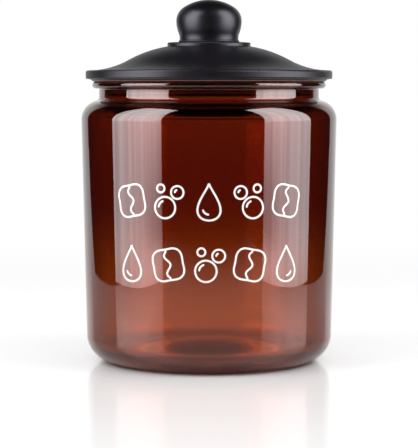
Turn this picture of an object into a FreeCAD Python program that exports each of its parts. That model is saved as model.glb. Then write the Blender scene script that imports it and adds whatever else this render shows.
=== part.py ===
import FreeCAD, Part
import math
import os
import re

import Sketcher

# Glass storage jar with a pull-out lid.
# The jar is one piece of amber glass. The lid is a pressed steel cover, a moulded plug ring that carries a
# silicone seal in the jar's mouth, and a cast knob held through the cover by one screw.
# The origin is the centre of the foot, on the plane that the jar stands on, and +Z is the jar's axis.

doc = FreeCAD.newDocument("glass_pod_jar")

# Driving sizes in millimetres. Radii are measured from the jar's axis.
SIZES = (
    # Jar, outside
    ("body_radius", 78.0, "widest half-width, at the shoulder"),
    ("wall_lean", 2.75, "how much narrower the jar is at its heel"),
    ("heel_round", 16.0, "heel curve from the foot to the wall"),
    ("shoulder_top", 159.5, "level that the shoulder curve would reach"),
    ("shoulder_tuck", 1.2, "how far the shoulder's centre lies inside the neck"),
    ("neck_height", 11.2, "from the top of the shoulder to the land of the lip"),
    ("neck_flare", 2.2, "hollow curve between shoulder and neck"),
    ("lip_overhang", 4.2, "how far the lip bead stands out from the neck"),
    ("lip_round", 2.2, "half the height of the lip bead"),
    ("lip_root_round", 0.8, "where the bead leaves the neck"),
    # Jar, inside
    ("bore_radius", 63.5, "mouth"),
    ("neck_wall", 3.7, "glass thickness of the neck"),
    ("wall", 3.6, "glass thickness of the wall"),
    ("lip_inner_round", 1.5, "inner edge of the lip"),
    ("neck_inner_flare", 6.0, "curve from the mouth to the inside of the shoulder"),
    ("inner_heel_round", 6.0, "curve from the wall to the floor inside"),
    ("base_thickness", 8.0, "height of the floor above the foot plane"),
    ("floor_rise", 5.0, "height of the dome in the middle of the floor"),
    ("floor_dome_round", 180.0, "curve of the floor's dome"),
    ("floor_blend_round", 60.0, "hollow curve around the floor's dome"),
    # Jar, underside
    ("foot_width", 7.25, "flat ring that the jar stands on"),
    ("foot_depth", 2.0, "depth of the recess inside the foot ring"),
    ("foot_edge_round", 1.2, "rounding of the foot ring's inner edge"),
    ("punt_rise", 5.0, "height of the push-up above the recess"),
    ("punt_round", 90.0, "curve of the push-up"),
    ("punt_blend_round", 40.0, "hollow curve around the push-up"),
    # Seal
    ("seal_flange", 1.3, "thickness of the seal between lid and lip"),
    ("seal_overhang", 1.0, "how far the seal's flange stands out past the lip"),
    ("seal_edge_slope", 1.5, "how far the flange's lower edge stands back"),
    ("seal_sleeve", 1.25, "thickness of the seal around the plug"),
    ("seal_clearance", 0.3, "between the seal's fins and the mouth"),
    ("seal_fit", 0.05, "between the seal and the plug"),
    ("fin_root", 1.4, "height of a fin where it leaves the sleeve"),
    ("fin_tip", 0.5, "height of a fin at its edge"),
    ("fin_drop", 2.5, "from the lip down to the top fin"),
    ("fin_pitch", 3.0, "from fin to fin"),
    ("fin_count", 2, "number of fins"),
    # Plug ring
    ("plug_gap", 2.4, "room for the seal between the plug and the mouth"),
    ("plug_wall", 2.2, "thickness of the plug wall"),
    ("plug_depth", 10.4, "how far the plug reaches below its web"),
    ("plug_edge_round", 0.6, "inner edge at the foot of the plug"),
    ("retainer_width", 1.3, "lip at the foot of the plug that keeps the seal on"),
    ("retainer_thickness", 1.6, "thickness of that lip"),
    ("web_thickness", 2.0, "flat web over the glass"),
    ("rim_height", 4.54, "rim from the web's underside to the cover"),
    ("rim_wall", 2.2, "thickness of the rim"),
    ("rim_clearance", 0.15, "between the rim and the cover's skirt"),
    ("snap_clearance", 0.05, "between the snap rib and the folded edge"),
    ("snap_margin", 0.39, "from the snap rib to the top of the rim"),
    # Cover
    ("sheet", 0.8, "steel sheet of the cover"),
    ("cover_overhang", 3.85, "how far the cover's skirt stands out past the lip"),
    ("flange_corner", 1.3, "outer bend between flange and skirt"),
    ("skirt_gap", 0.2, "from the seal's top up to the skirt's edge"),
    ("hem_height", 2.2, "height of the folded edge"),
    ("flare_round", 51.0, "hollow curve of the cover near the flange"),
    ("dome_round", 74.0, "raised curve of the cover under the knob"),
    ("dome_rise", 14.66, "from the flange up to the knob's seat"),
    ("seat_margin", 0.2, "flat seat around the collar"),
    # Knob and its fixing
    ("collar_edge", 6.9, "how far the collar stands out past the knob's foot"),
    ("collar_thickness", 2.3, "thickness of the collar"),
    ("collar_round", 0.8, "rounding of the collar's top edge"),
    ("knob_height", 26.1, "knob from its foot to its top"),
    ("knob_radius", 19.95, "widest half-width of the knob"),
    ("knob_top_round", 28.0, "curve of the knob's top"),
    ("knob_shoulder_round", 10.0, "curve between top and side"),
    ("waist_depth", 2.05, "how much narrower the waist is"),
    ("waist_height", 2.6, "height of the waist above the knob's foot"),
    ("waist_round", 8.0, "hollow curve above the waist"),
    ("knob_foot_width", 0.6, "how far the foot bead stands out from the waist"),
    ("knob_foot_round", 0.8, "half the height of the bead"),
    ("knob_wall", 2.7, "thickness of the casting at the waist"),
    ("knob_roof", 5.6, "thickness of the casting at the top"),
    ("core_round", 5.0, "upper corner of the hollow"),
    ("boss_wall", 3.0, "boss around the screw"),
    ("hole_runout", 1.8, "how much deeper the hole is than the screw"),
    ("thread_clearance", 0.02, "between the screw and its hole"),
    ("screw_radius", 2.5, "shank of the screw"),
    ("screw_length", 16.0, "shank below the head"),
    ("screw_point", 0.8, "chamfer at the shank's end"),
    ("screw_head_radius", 4.75, "pan head"),
    ("screw_head_height", 3.3, "pan head"),
    ("screw_head_round", 1.6, "rounding of the pan head"),
    ("recess_length", 5.2, "length of each arm of the cross recess"),
    ("recess_width", 1.1, "width of each arm"),
    ("recess_depth", 1.9, "depth of the cross recess"),
    ("hole_clearance", 0.25, "around the screw in cover, collar and washer"),
    ("washer_radius", 7.5, "large washer under the cover"),
    ("washer_thickness", 1.2, "thickness of the washer"),
)

# Sizes and levels that follow from the driving sizes, so that the pieces keep fitting each other.
FITS = {
    "heel_radius": "body_radius - wall_lean",
    "foot_inner_radius": "heel_radius - heel_round - foot_width",
    "neck_radius": "bore_radius + neck_wall",
    "lip_radius": "neck_radius + lip_overhang",
    "shoulder_round": "body_radius - neck_radius + shoulder_tuck",
    "shoulder_height": "shoulder_top - shoulder_round",
    "lip_height": "shoulder_top + neck_height",
    "plug_radius": "bore_radius - plug_gap",
    "retainer_radius": "plug_radius + retainer_width",
    "seal_inner_radius": "plug_radius + seal_fit",
    "sleeve_radius": "seal_inner_radius + seal_sleeve",
    "seal_flange_radius": "lip_radius + seal_overhang",
    "web_level": "lip_height + seal_flange",
    "flange_radius": "lip_radius + cover_overhang",
    "skirt_depth": "rim_height + sheet - skirt_gap",
    "flange_level": "web_level + rim_height + sheet",
    "seat_level": "flange_level + dome_rise",
    "washer_level": "seat_level - sheet - washer_thickness",
    "knob_level": "seat_level + collar_thickness",
    "waist_radius": "knob_radius - waist_depth",
    "knob_foot_radius": "waist_radius + knob_foot_width",
    "collar_radius": "knob_foot_radius + collar_edge",
    "seat_radius": "collar_radius + seat_margin",
    "core_radius": "waist_radius - knob_wall",
    "core_height": "knob_height - knob_roof",
    "boss_radius": "screw_radius + boss_wall",
    "tapped_depth": "screw_length - washer_thickness - sheet - collar_thickness + hole_runout",
    "screw_hole_radius": "screw_radius + hole_clearance",
}

sizes = doc.addObject("Spreadsheet::Sheet", "Sizes")
for row, (alias, number, meaning) in enumerate(SIZES, start=1):
    sizes.set(f"A{row}", meaning)
    sizes.set(f"B{row}", str(number))
    sizes.setAlias(f"B{row}", alias)
doc.recompute()


def bound(text):
    """An expression in the sizes' own names, written the way the document reads it."""

    def place(found):
        name = found.group()
        return f"({bound(FITS[name])})" if name in FITS else f"Sizes.{name}"

    return re.sub(r"\b[a-z_]+\b(?!\()", place, text)


def value(text):
    """The number that an expression in the sizes' names gives now."""
    return float(sizes.evalExpression(bound(text)))


def new_body(name, level="0"):
    """A body for one piece, raised to its level on the jar's axis."""
    body = doc.addObject("PartDesign::Body", name)
    body.Label = name
    body.setExpression("Placement.Base.z", bound(level))
    return body


def new_sketch(body, name, plane):
    """A sketch on one of the body's own planes."""
    sketch = body.newObject("Sketcher::SketchObject", name)
    origin_plane = [item for item in body.Origin.OriginFeatures if item.Role == plane]
    sketch.AttachmentSupport = (origin_plane[0], "")
    sketch.MapMode = "FlatFace"
    return sketch


def dimension(sketch, kind, places, text):
    """A dimension that follows the sizes: places holds the geometry and points it is taken between."""
    number = sketch.addConstraint(Sketcher.Constraint(kind, *places, value(text)))
    name = f"{kind}_{number}"
    sketch.renameConstraint(number, name)
    sketch.setExpression(f"Constraints.{name}", bound(text))


def along(centre, radius, towards):
    """The point at a radius from a centre, in the direction of another point."""
    direction = towards - centre
    return centre + direction * (radius / direction.Length)


def other_side(centre_distance, offset):
    """The second leg of a right triangle: how far two centres lie apart along the other direction."""
    return math.sqrt(centre_distance ** 2 - offset ** 2)


def point(x_text, z_text):
    """A point of a section from its radius and its height."""
    return FreeCAD.Vector(value(x_text), value(z_text), 0)


class Section:
    """The closed outline of a turned piece, drawn run by run: x is the radius and y is the height.

    Each run starts where the last one ended. A smooth run leaves it in the same direction.
    """

    CENTRE = 3
    VERTICAL_AXIS = -2
    HORIZONTAL_AXIS = -1

    def __init__(self, body, name, start):
        self.sketch = new_sketch(body, name, "XZ_Plane")
        self.here = start
        self.runs = []

    def add(self, geometry, ends, smooth):
        index = self.sketch.addGeometry(geometry, False)
        if self.runs:
            last, last_ends = self.runs[-1]
            kind = "Tangent" if smooth else "Coincident"
            self.sketch.addConstraint(Sketcher.Constraint(kind, last, last_ends[1], index, ends[0]))
        self.runs.append((index, ends))
        return index

    def line(self, end, smooth=False, direction=None):
        index = self.add(Part.LineSegment(self.here, end), (1, 2), smooth)
        if direction:
            self.sketch.addConstraint(Sketcher.Constraint(direction, index))
        self.here = end
        return index

    def arc(self, centre, end, turn, smooth=True):
        """An arc about a centre, turning left (+1) or right (-1)."""
        radius = (self.here - centre).Length
        angles = [math.atan2(place.y - centre.y, place.x - centre.x) for place in (self.here, end)]
        ends = (1, 2)
        if turn < 0:
            angles.reverse()
            ends = (2, 1)
        circle = Part.Circle(centre, FreeCAD.Vector(0, 0, 1), radius)
        index = self.add(Part.ArcOfCircle(circle, angles[0], angles[1]), ends, smooth)
        self.here = end
        return index

    def hold(self, index, place, x=None, z=None):
        """Ties a run's start (0), end (1) or centre (2) to a radius, a height or both."""
        ends = dict(self.runs)[index]
        where = (index, (ends[0], ends[1], self.CENTRE)[place])
        directions = ((x, "DistanceX", self.VERTICAL_AXIS), (z, "DistanceY", self.HORIZONTAL_AXIS))
        for text, kind, axis in directions:
            if text == "0":
                self.sketch.addConstraint(Sketcher.Constraint("PointOnObject", *where, axis))
            elif text:
                dimension(self.sketch, kind, (-1, 1) + where, text)

    def radius(self, index, text):
        dimension(self.sketch, "Radius", (index,), text)

    def match(self, kind, first, second):
        """Puts two arcs' centres at the same place (Coincident), radius (Vertical) or height (Horizontal)."""
        self.sketch.addConstraint(Sketcher.Constraint(kind, first, self.CENTRE, second, self.CENTRE))

    def close(self):
        """Joins the last run to the first."""
        last, last_ends = self.runs[-1]
        first, first_ends = self.runs[0]
        self.sketch.addConstraint(Sketcher.Constraint("Coincident", last, last_ends[1], first, first_ends[0]))
        doc.recompute()
        if not self.sketch.FullyConstrained:
            raise RuntimeError(f"{self.sketch.Label} is not fully constrained")
        return self.sketch


def turned(body, name, sketch, kind="PartDesign::Revolution"):
    """A sketch turned once around the jar's axis."""
    feature = body.newObject(kind, name)
    feature.Profile = sketch
    feature.ReferenceAxis = (sketch, ["V_Axis"])
    feature.Angle = 360
    doc.recompute()
    return feature


def extruded(body, name, sketch, length, kind="PartDesign::Pad", up=True):
    """A sketch on the horizontal plane carried up or down by a length."""
    feature = body.newObject(kind, name)
    feature.Profile = sketch
    feature.setExpression("Length", bound(length))
    feature.Reversed = up if kind == "PartDesign::Pocket" else not up
    doc.recompute()
    return feature


def must_cut(before, after):
    """Stops if a cut took nothing away."""
    if after.Shape.Volume >= before.Shape.Volume:
        raise RuntimeError(f"{after.Label} cuts nothing")


def circular_edges(feature, radius, height):
    """Names of the feature's full circles with a radius at a height in the body's own frame."""
    names = []
    for number, edge in enumerate(feature.Shape.Edges, start=1):
        if edge.Degenerated or not isinstance(edge.Curve, Part.Circle):
            continue
        same_radius = abs(edge.Curve.Radius - value(radius)) < 0.001
        same_height = abs(edge.Curve.Center.z - value(height)) < 0.001
        if same_radius and same_height:
            names.append(f"Edge{number}")
    return names


def eased(body, name, base, edges, size, kind="PartDesign::Fillet"):
    """Rounds or chamfers edges of the last feature."""
    if not edges:
        raise RuntimeError(f"{name} has no edge")
    feature = body.newObject(kind, name)
    feature.Base = (base, edges)
    feature.setExpression("Radius" if kind == "PartDesign::Fillet" else "Size", bound(size))
    doc.recompute()
    return feature


def circle(sketch, radius):
    """A circle about the axis."""
    index = sketch.addGeometry(Part.Circle(FreeCAD.Vector(), FreeCAD.Vector(0, 0, 1), value(radius)), False)
    sketch.addConstraint(Sketcher.Constraint("Coincident", index, 3, -1, 1))
    dimension(sketch, "Radius", (index,), radius)


def make_glass_jar():
    """The jar, all one glass: base with a foot ring and a push-up, wall, shoulder, neck and lip bead."""
    body = new_body("glass_jar")

    # Underside: push-up, shelf and foot ring.
    punt_centre = point("0", "foot_depth + punt_rise - punt_round")
    blend_centre = point("0", "foot_depth + punt_blend_round")
    blend_centre.x = other_side(value("punt_round + punt_blend_round"), blend_centre.y - punt_centre.y)
    section = Section(body, "JarSection", point("0", "foot_depth + punt_rise"))
    punt = section.arc(punt_centre, along(punt_centre, value("punt_round"), blend_centre), -1)
    section.radius(punt, "punt_round")
    section.hold(punt, 0, x="0", z="foot_depth + punt_rise")
    section.hold(punt, 2, x="0")
    shelf_start = FreeCAD.Vector(blend_centre.x, value("foot_depth"), 0)
    blend = section.arc(blend_centre, shelf_start, +1)
    section.radius(blend, "punt_blend_round")
    shelf = section.line(point("foot_inner_radius", "foot_depth"), True, "Horizontal")
    section.hold(shelf, 1, x="foot_inner_radius", z="foot_depth")
    foot_side = section.line(point("foot_inner_radius", "0"), False, "Vertical")
    section.hold(foot_side, 1, z="0")
    section.line(point("heel_radius - heel_round", "0"), False, "Horizontal")

    # Outside: heel, wall, shoulder, neck and lip.
    heel_centre = point("heel_radius - heel_round", "heel_round")
    heel = section.arc(heel_centre, point("heel_radius", "heel_round"), +1)
    section.radius(heel, "heel_round")
    section.hold(heel, 2, x="heel_radius - heel_round")
    section.line(point("body_radius", "shoulder_height"), True)
    shoulder_centre = point("body_radius - shoulder_round", "shoulder_height")
    flare_centre = point("neck_radius + neck_flare", "shoulder_height")
    flare_centre.y += other_side(value("shoulder_round + neck_flare"), flare_centre.x - shoulder_centre.x)
    shoulder = section.arc(shoulder_centre, along(shoulder_centre, value("shoulder_round"), flare_centre), +1)
    section.radius(shoulder, "shoulder_round")
    section.hold(shoulder, 2, x="body_radius - shoulder_round", z="shoulder_height")
    neck_start = FreeCAD.Vector(value("neck_radius"), flare_centre.y, 0)
    flare = section.arc(flare_centre, neck_start, -1)
    section.radius(flare, "neck_flare")
    neck = section.line(point("neck_radius", "lip_height - 2 * lip_round"), True, "Vertical")
    section.hold(neck, 1, x="neck_radius", z="lip_height - 2 * lip_round")
    section.line(point("lip_radius - lip_round", "lip_height - 2 * lip_round"), False, "Horizontal")
    lip_centre = point("lip_radius - lip_round", "lip_height - lip_round")
    lip = section.arc(lip_centre, point("lip_radius - lip_round", "lip_height"), +1)
    section.radius(lip, "lip_round")
    section.hold(lip, 2, x="lip_radius - lip_round")
    section.line(point("bore_radius + lip_inner_round", "lip_height"), True, "Horizontal")

    # Inside: mouth, shoulder, wall, heel and floor.
    edge_centre = point("bore_radius + lip_inner_round", "lip_height - lip_inner_round")
    edge = section.arc(edge_centre, point("bore_radius", "lip_height - lip_inner_round"), +1)
    section.radius(edge, "lip_inner_round")
    inner_flare_centre = point("bore_radius + neck_inner_flare", "shoulder_height")
    centre_distance = value("shoulder_round - wall + neck_inner_flare")
    inner_flare_centre.y += other_side(centre_distance, inner_flare_centre.x - shoulder_centre.x)
    bore = section.line(FreeCAD.Vector(value("bore_radius"), inner_flare_centre.y, 0), True, "Vertical")
    section.hold(bore, 1, x="bore_radius")
    turn_point = along(inner_flare_centre, value("neck_inner_flare"), shoulder_centre)
    inner_flare = section.arc(inner_flare_centre, turn_point, +1)
    section.radius(inner_flare, "neck_inner_flare")
    inner_shoulder = section.arc(shoulder_centre, point("body_radius - wall", "shoulder_height"), -1)
    section.radius(inner_shoulder, "shoulder_round - wall")
    section.hold(inner_shoulder, 2, x="body_radius - shoulder_round", z="shoulder_height")
    section.line(point("heel_radius - wall", "base_thickness + inner_heel_round"), True)
    inner_heel_centre = point("heel_radius - wall - inner_heel_round", "base_thickness + inner_heel_round")
    floor_start = point("heel_radius - wall - inner_heel_round", "base_thickness")
    inner_heel = section.arc(inner_heel_centre, floor_start, -1)
    section.radius(inner_heel, "inner_heel_round")
    section.hold(inner_heel, 2, x="heel_radius - wall - inner_heel_round")
    dome_centre = point("0", "base_thickness + floor_rise - floor_dome_round")
    ring_centre = point("0", "base_thickness + floor_blend_round")
    ring_centre.x = other_side(value("floor_dome_round + floor_blend_round"), ring_centre.y - dome_centre.y)
    floor = section.line(FreeCAD.Vector(ring_centre.x, value("base_thickness"), 0), True, "Horizontal")
    section.hold(floor, 1, z="base_thickness")
    ring = section.arc(ring_centre, along(dome_centre, value("floor_dome_round"), ring_centre), -1)
    section.radius(ring, "floor_blend_round")
    dome = section.arc(dome_centre, point("0", "base_thickness + floor_rise"), +1)
    section.radius(dome, "floor_dome_round")
    section.hold(dome, 1, x="0", z="base_thickness + floor_rise")
    section.hold(dome, 2, x="0")
    section.line(point("0", "foot_depth + punt_rise"))
    glass = turned(body, "Glass", section.close())

    foot_edges = circular_edges(glass, "foot_inner_radius", "0")
    foot_edges += circular_edges(glass, "foot_inner_radius", "foot_depth")
    glass = eased(body, "FootRingRound", glass, foot_edges, "min(foot_edge_round; 0.45 * foot_depth)")
    root_edges = circular_edges(glass, "neck_radius", "lip_height - 2 * lip_round")
    eased(body, "LipRoot", glass, root_edges, "lip_root_round")
    return body


def make_seal_ring():
    """Silicone seal: a flange that the glass lip presses on, and a sleeve with fins that wipe the mouth."""
    body = new_body("seal_ring", "lip_height")
    bottom = "seal_flange - plug_depth + retainer_thickness + seal_fit"
    corners = (
        ("seal_inner_radius", bottom),
        ("sleeve_radius", bottom),
        ("sleeve_radius", "0"),
        ("seal_flange_radius - seal_edge_slope", "0"),
        ("seal_flange_radius", "seal_flange"),
        ("seal_inner_radius", "seal_flange"),
    )
    ring = turned(body, "Ring", straight_section(body, "RingSection", corners))

    tip = "bore_radius - seal_clearance"
    # The fin's root lies a little inside the sleeve, so that the two become one.
    root = "seal_inner_radius + 0.5 * seal_sleeve"
    top_fin = (
        (root, "-fin_drop - 0.5 * fin_root"),
        ("sleeve_radius", "-fin_drop - 0.5 * fin_root"),
        (tip, "-fin_drop - 0.5 * fin_tip"),
        (tip, "-fin_drop + 0.5 * fin_tip"),
        ("sleeve_radius", "-fin_drop + 0.5 * fin_root"),
        (root, "-fin_drop + 0.5 * fin_root"),
    )
    fin = turned(body, "Fin", straight_section(body, "FinSection", top_fin))
    fins = body.newObject("PartDesign::LinearPattern", "Fins")
    fins.Originals = [fin]
    axis = [item for item in body.Origin.OriginFeatures if item.Role == "Z_Axis"]
    fins.Direction = (axis[0], [""])
    fins.Reversed = True
    fins.setExpression("Length", bound("fin_pitch * (fin_count - 1)"))
    fins.setExpression("Occurrences", bound("fin_count"))
    body.Tip = fins
    doc.recompute()
    if fins.Shape.Volume <= ring.Shape.Volume:
        raise RuntimeError("The seal has no fins")
    return body


def straight_section(body, name, corners):
    """A closed section with straight sides from its corners' radii and heights."""
    section = Section(body, name, point(*corners[0]))
    for x_text, z_text in corners[1:] + corners[:1]:
        side = section.line(point(x_text, z_text))
        section.hold(side, 1, x=x_text, z=z_text)
    return section.close()


def make_seal_carrier():
    """Moulded plug ring: a wall inside the seal, a web over the glass and a rim that snaps into the cover."""
    body = new_body("seal_carrier", "web_level")
    plug_inside = "plug_radius - plug_wall"
    rim_outside = "flange_radius - 2 * sheet - rim_clearance"
    rim_inside = "flange_radius - 2 * sheet - rim_clearance - rim_wall"
    snap_radius = "flange_radius - sheet - rim_clearance"
    snap_bottom = "skirt_gap + hem_height + snap_clearance"
    snap_top = "rim_height - snap_margin"
    corners = (
        (plug_inside, "-plug_depth"),
        ("retainer_radius", "-plug_depth"),
        ("retainer_radius", "retainer_thickness - plug_depth"),
        ("plug_radius", "retainer_thickness - plug_depth"),
        ("plug_radius", "0"),
        (rim_outside, "0"),
        (rim_outside, snap_bottom),
        (snap_radius, snap_bottom),
        (rim_outside, snap_top),
        (rim_outside, "rim_height"),
        (rim_inside, "rim_height"),
        (rim_inside, "web_thickness"),
        (plug_inside, "web_thickness"),
    )
    ring = turned(body, "PlugRing", straight_section(body, "PlugSection", corners))
    inner_edges = circular_edges(ring, plug_inside, "-plug_depth")
    eased(body, "PlugEdge", ring, inner_edges, "plug_edge_round")
    return body


def make_lid_cover():
    """Pressed steel cover: flat seat, bell-shaped dome, flange, and a skirt with its edge folded inwards."""
    body = new_body("lid_cover", "flange_level")
    seat_edge = point("seat_radius", "dome_rise")
    flare_centre = point("flange_radius - flange_corner", "flare_round")
    # The dome's centre lies at its own radius from the seat's edge, and both radii from the flare's centre.
    span = seat_edge - flare_centre
    far = value("dome_round + flare_round")
    near = value("dome_round")
    reach = (far ** 2 - near ** 2 + span.Length ** 2) / (2 * span.Length)
    across = FreeCAD.Vector(-span.y, span.x, 0) * (other_side(far, reach) / span.Length)
    dome_centre = flare_centre + span * (reach / span.Length) + across

    section = Section(body, "CoverSection", point("screw_hole_radius", "dome_rise - sheet"))
    hole = section.line(point("screw_hole_radius", "dome_rise"), False, "Vertical")
    section.hold(hole, 1, x="screw_hole_radius", z="dome_rise")
    seat = section.line(seat_edge, False, "Horizontal")
    section.hold(seat, 1, x="seat_radius")
    dome = section.arc(dome_centre, along(dome_centre, near, flare_centre), -1, False)
    section.radius(dome, "dome_round")
    flare = section.arc(flare_centre, point("flange_radius - flange_corner", "0"), +1)
    section.radius(flare, "flare_round")
    section.hold(flare, 2, x="flange_radius - flange_corner", z="flare_round")
    corner_centre = point("flange_radius - flange_corner", "-flange_corner")
    corner = section.arc(corner_centre, point("flange_radius", "-flange_corner"), -1)
    section.radius(corner, "flange_corner")
    skirt = section.line(point("flange_radius", "sheet - skirt_depth"), True, "Vertical")
    section.hold(skirt, 1, x="flange_radius")
    hem = section.arc(
        point("flange_radius - sheet", "sheet - skirt_depth"),
        point("flange_radius - 2 * sheet", "sheet - skirt_depth"),
        -1,
    )
    section.radius(hem, "sheet")
    section.hold(hem, 2, z="sheet - skirt_depth")
    fold = section.line(point("flange_radius - 2 * sheet", "hem_height - skirt_depth"), True, "Vertical")
    section.hold(fold, 1, z="hem_height - skirt_depth")
    fold_edge = section.line(point("flange_radius - sheet", "hem_height - skirt_depth"), False, "Horizontal")
    section.hold(fold_edge, 1, x="flange_radius - sheet")
    section.line(point("flange_radius - sheet", "-flange_corner"), False, "Vertical")
    inner_corner = section.arc(corner_centre, point("flange_radius - flange_corner", "-sheet"), +1)
    section.radius(inner_corner, "flange_corner - sheet")
    inner_turn = along(flare_centre, value("flare_round + sheet"), dome_centre)
    inner_flare = section.arc(flare_centre, inner_turn, -1)
    section.radius(inner_flare, "flare_round + sheet")
    section.match("Coincident", flare, inner_flare)
    inner_round = value("dome_round - sheet")
    inner_seat = point("0", "dome_rise - sheet")
    inner_seat.x = dome_centre.x + other_side(inner_round, inner_seat.y - dome_centre.y)
    inner_dome = section.arc(dome_centre, inner_seat, +1)
    section.radius(inner_dome, "dome_round - sheet")
    section.match("Vertical", dome, inner_dome)
    underside = section.line(point("screw_hole_radius", "dome_rise - sheet"), False, "Horizontal")
    section.hold(underside, 0, z="dome_rise - sheet")
    turned(body, "Pressing", section.close())
    return body


def make_knob_collar():
    """Disc that spreads the knob's load over the thin cover."""
    body = new_body("knob_collar", "seat_level")
    sketch = new_sketch(body, "CollarOutline", "XY_Plane")
    circle(sketch, "collar_radius")
    circle(sketch, "screw_hole_radius")
    disc = extruded(body, "Disc", sketch, "collar_thickness")
    top_edge = circular_edges(disc, "collar_radius", "collar_thickness")
    eased(body, "TopRound", disc, top_edge, "min(collar_round; 0.45 * collar_thickness)")
    return body


def make_knob():
    """Cast knob with a domed top, a waist and a foot bead, hollow from below around a boss for the screw."""
    body = new_body("knob", "knob_level")
    top_centre = point("0", "knob_height - knob_top_round")
    shoulder_centre = point("knob_radius - knob_shoulder_round", "knob_height - knob_top_round")
    shoulder_centre.y += other_side(value("knob_top_round - knob_shoulder_round"), shoulder_centre.x)
    waist_centre = point("waist_radius + waist_round", "waist_height")
    # The side's curve has its centre level with the shoulder's and touches both the shoulder and the waist.
    hollow = value("waist_round")
    reach = waist_centre.x - value("knob_radius")
    drop = shoulder_centre.y - waist_centre.y
    side_round = (reach ** 2 + drop ** 2 - hollow ** 2) / (2 * (hollow - reach))
    side_centre = FreeCAD.Vector(value("knob_radius") - side_round, shoulder_centre.y, 0)
    bead_centre = point("knob_foot_radius - knob_foot_round", "knob_foot_round")
    bead_top = point("waist_radius", "knob_foot_round")
    bead_top.y += other_side(value("knob_foot_round"), bead_top.x - bead_centre.x)

    section = Section(body, "KnobSection", point("0", "knob_height"))
    top_end = along(top_centre, value("knob_top_round"), shoulder_centre)
    top = section.arc(top_centre, top_end, -1)
    section.radius(top, "knob_top_round")
    section.hold(top, 0, x="0", z="knob_height")
    section.hold(top, 2, x="0")
    widest = FreeCAD.Vector(value("knob_radius"), shoulder_centre.y, 0)
    shoulder = section.arc(shoulder_centre, widest, -1)
    section.radius(shoulder, "knob_shoulder_round")
    section.hold(shoulder, 2, x="knob_radius - knob_shoulder_round")
    side = section.arc(side_centre, along(side_centre, side_round, waist_centre), -1)
    section.match("Horizontal", shoulder, side)
    waist_point = FreeCAD.Vector(value("waist_radius"), waist_centre.y, 0)
    waist_arc = section.arc(waist_centre, waist_point, +1)
    section.radius(waist_arc, "waist_round")
    section.hold(waist_arc, 2, z="waist_height")
    waist = section.line(bead_top, True, "Vertical")
    section.hold(waist, 1, x="waist_radius")
    bead = section.arc(bead_centre, point("knob_foot_radius - knob_foot_round", "0"), -1, False)
    section.radius(bead, "knob_foot_round")
    section.hold(bead, 2, x="knob_foot_radius - knob_foot_round", z="knob_foot_round")
    foot = section.line(point("0", "0"), True, "Horizontal")
    section.hold(foot, 1, x="0")
    section.line(point("0", "knob_height"))
    casting = turned(body, "Casting", section.close())

    core = Section(body, "CoreSection", point("boss_radius", "0"))
    core_foot = core.line(point("core_radius", "0"), False, "Horizontal")
    core.hold(core_foot, 0, x="boss_radius", z="0")
    core_side = core.line(point("core_radius", "core_height - core_round"), False, "Vertical")
    core.hold(core_side, 0, x="core_radius")
    core_corner_centre = point("core_radius - core_round", "core_height - core_round")
    core_corner = core.arc(core_corner_centre, point("core_radius - core_round", "core_height"), +1)
    core.radius(core_corner, "core_round")
    core_roof = core.line(point("boss_radius", "core_height"), True, "Horizontal")
    core.hold(core_roof, 1, x="boss_radius", z="core_height")
    core.line(point("boss_radius", "0"))
    cored = turned(body, "Core", core.close(), "PartDesign::Groove")
    must_cut(casting, cored)

    hole_sketch = new_sketch(body, "TappedHoleOutline", "XY_Plane")
    circle(hole_sketch, "screw_radius + thread_clearance")
    hole = extruded(body, "TappedHole", hole_sketch, "tapped_depth", "PartDesign::Pocket", up=True)
    must_cut(cored, hole)
    return body


def make_knob_washer():
    """Large washer between the screw's head and the underside of the cover."""
    body = new_body("knob_washer", "washer_level")
    sketch = new_sketch(body, "WasherOutline", "XY_Plane")
    circle(sketch, "washer_radius")
    circle(sketch, "screw_hole_radius")
    extruded(body, "Washer", sketch, "washer_thickness")
    return body


def make_knob_screw():
    """Pan-head screw that comes up through washer, cover and collar into the knob's boss."""
    body = new_body("knob_screw", "washer_level")
    shank_sketch = new_sketch(body, "ShankOutline", "XY_Plane")
    circle(shank_sketch, "screw_radius")
    shank = extruded(body, "Shank", shank_sketch, "screw_length")
    tip_edge = circular_edges(shank, "screw_radius", "screw_length")
    eased(body, "Point", shank, tip_edge, "screw_point", "PartDesign::Chamfer")
    head_sketch = new_sketch(body, "HeadOutline", "XY_Plane")
    circle(head_sketch, "screw_head_radius")
    head = extruded(body, "Head", head_sketch, "screw_head_height", up=False)
    head_edge = circular_edges(head, "screw_head_radius", "-screw_head_height")
    head = eased(body, "HeadRound", head, head_edge, "screw_head_round")

    recess_sketch = new_sketch(body, "RecessOutline", "XY_Plane")
    recess_sketch.setExpression("AttachmentOffset.Base.z", bound("-screw_head_height"))
    cross(recess_sketch, "recess_length", "recess_width")
    recess = extruded(body, "Recess", recess_sketch, "recess_depth", "PartDesign::Pocket", up=True)
    must_cut(head, recess)
    return body


def cross(sketch, length, width):
    """A cross of two bars, drawn as one outline of twelve corners."""
    long_half = f"0.5 * {length}"
    short_half = f"0.5 * {width}"
    quarter = ((long_half, short_half), (short_half, short_half), (short_half, long_half))
    corners = []
    for turn in range(4):
        for x_text, y_text in quarter:
            pair = (x_text, y_text)
            for _ in range(turn):
                pair = (f"-({pair[1]})", pair[0])
            corners.append(pair)
    for number, (x_text, y_text) in enumerate(corners):
        next_corner = corners[(number + 1) % len(corners)]
        side = Part.LineSegment(point(x_text, y_text), point(*next_corner))
        sketch.addGeometry(side, False)
    for number, (x_text, y_text) in enumerate(corners):
        following = (number + 1) % len(corners)
        sketch.addConstraint(Sketcher.Constraint("Coincident", number, 2, following, 1))
        dimension(sketch, "DistanceX", (-1, 1, number, 1), x_text)
        dimension(sketch, "DistanceY", (-1, 1, number, 1), y_text)


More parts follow.
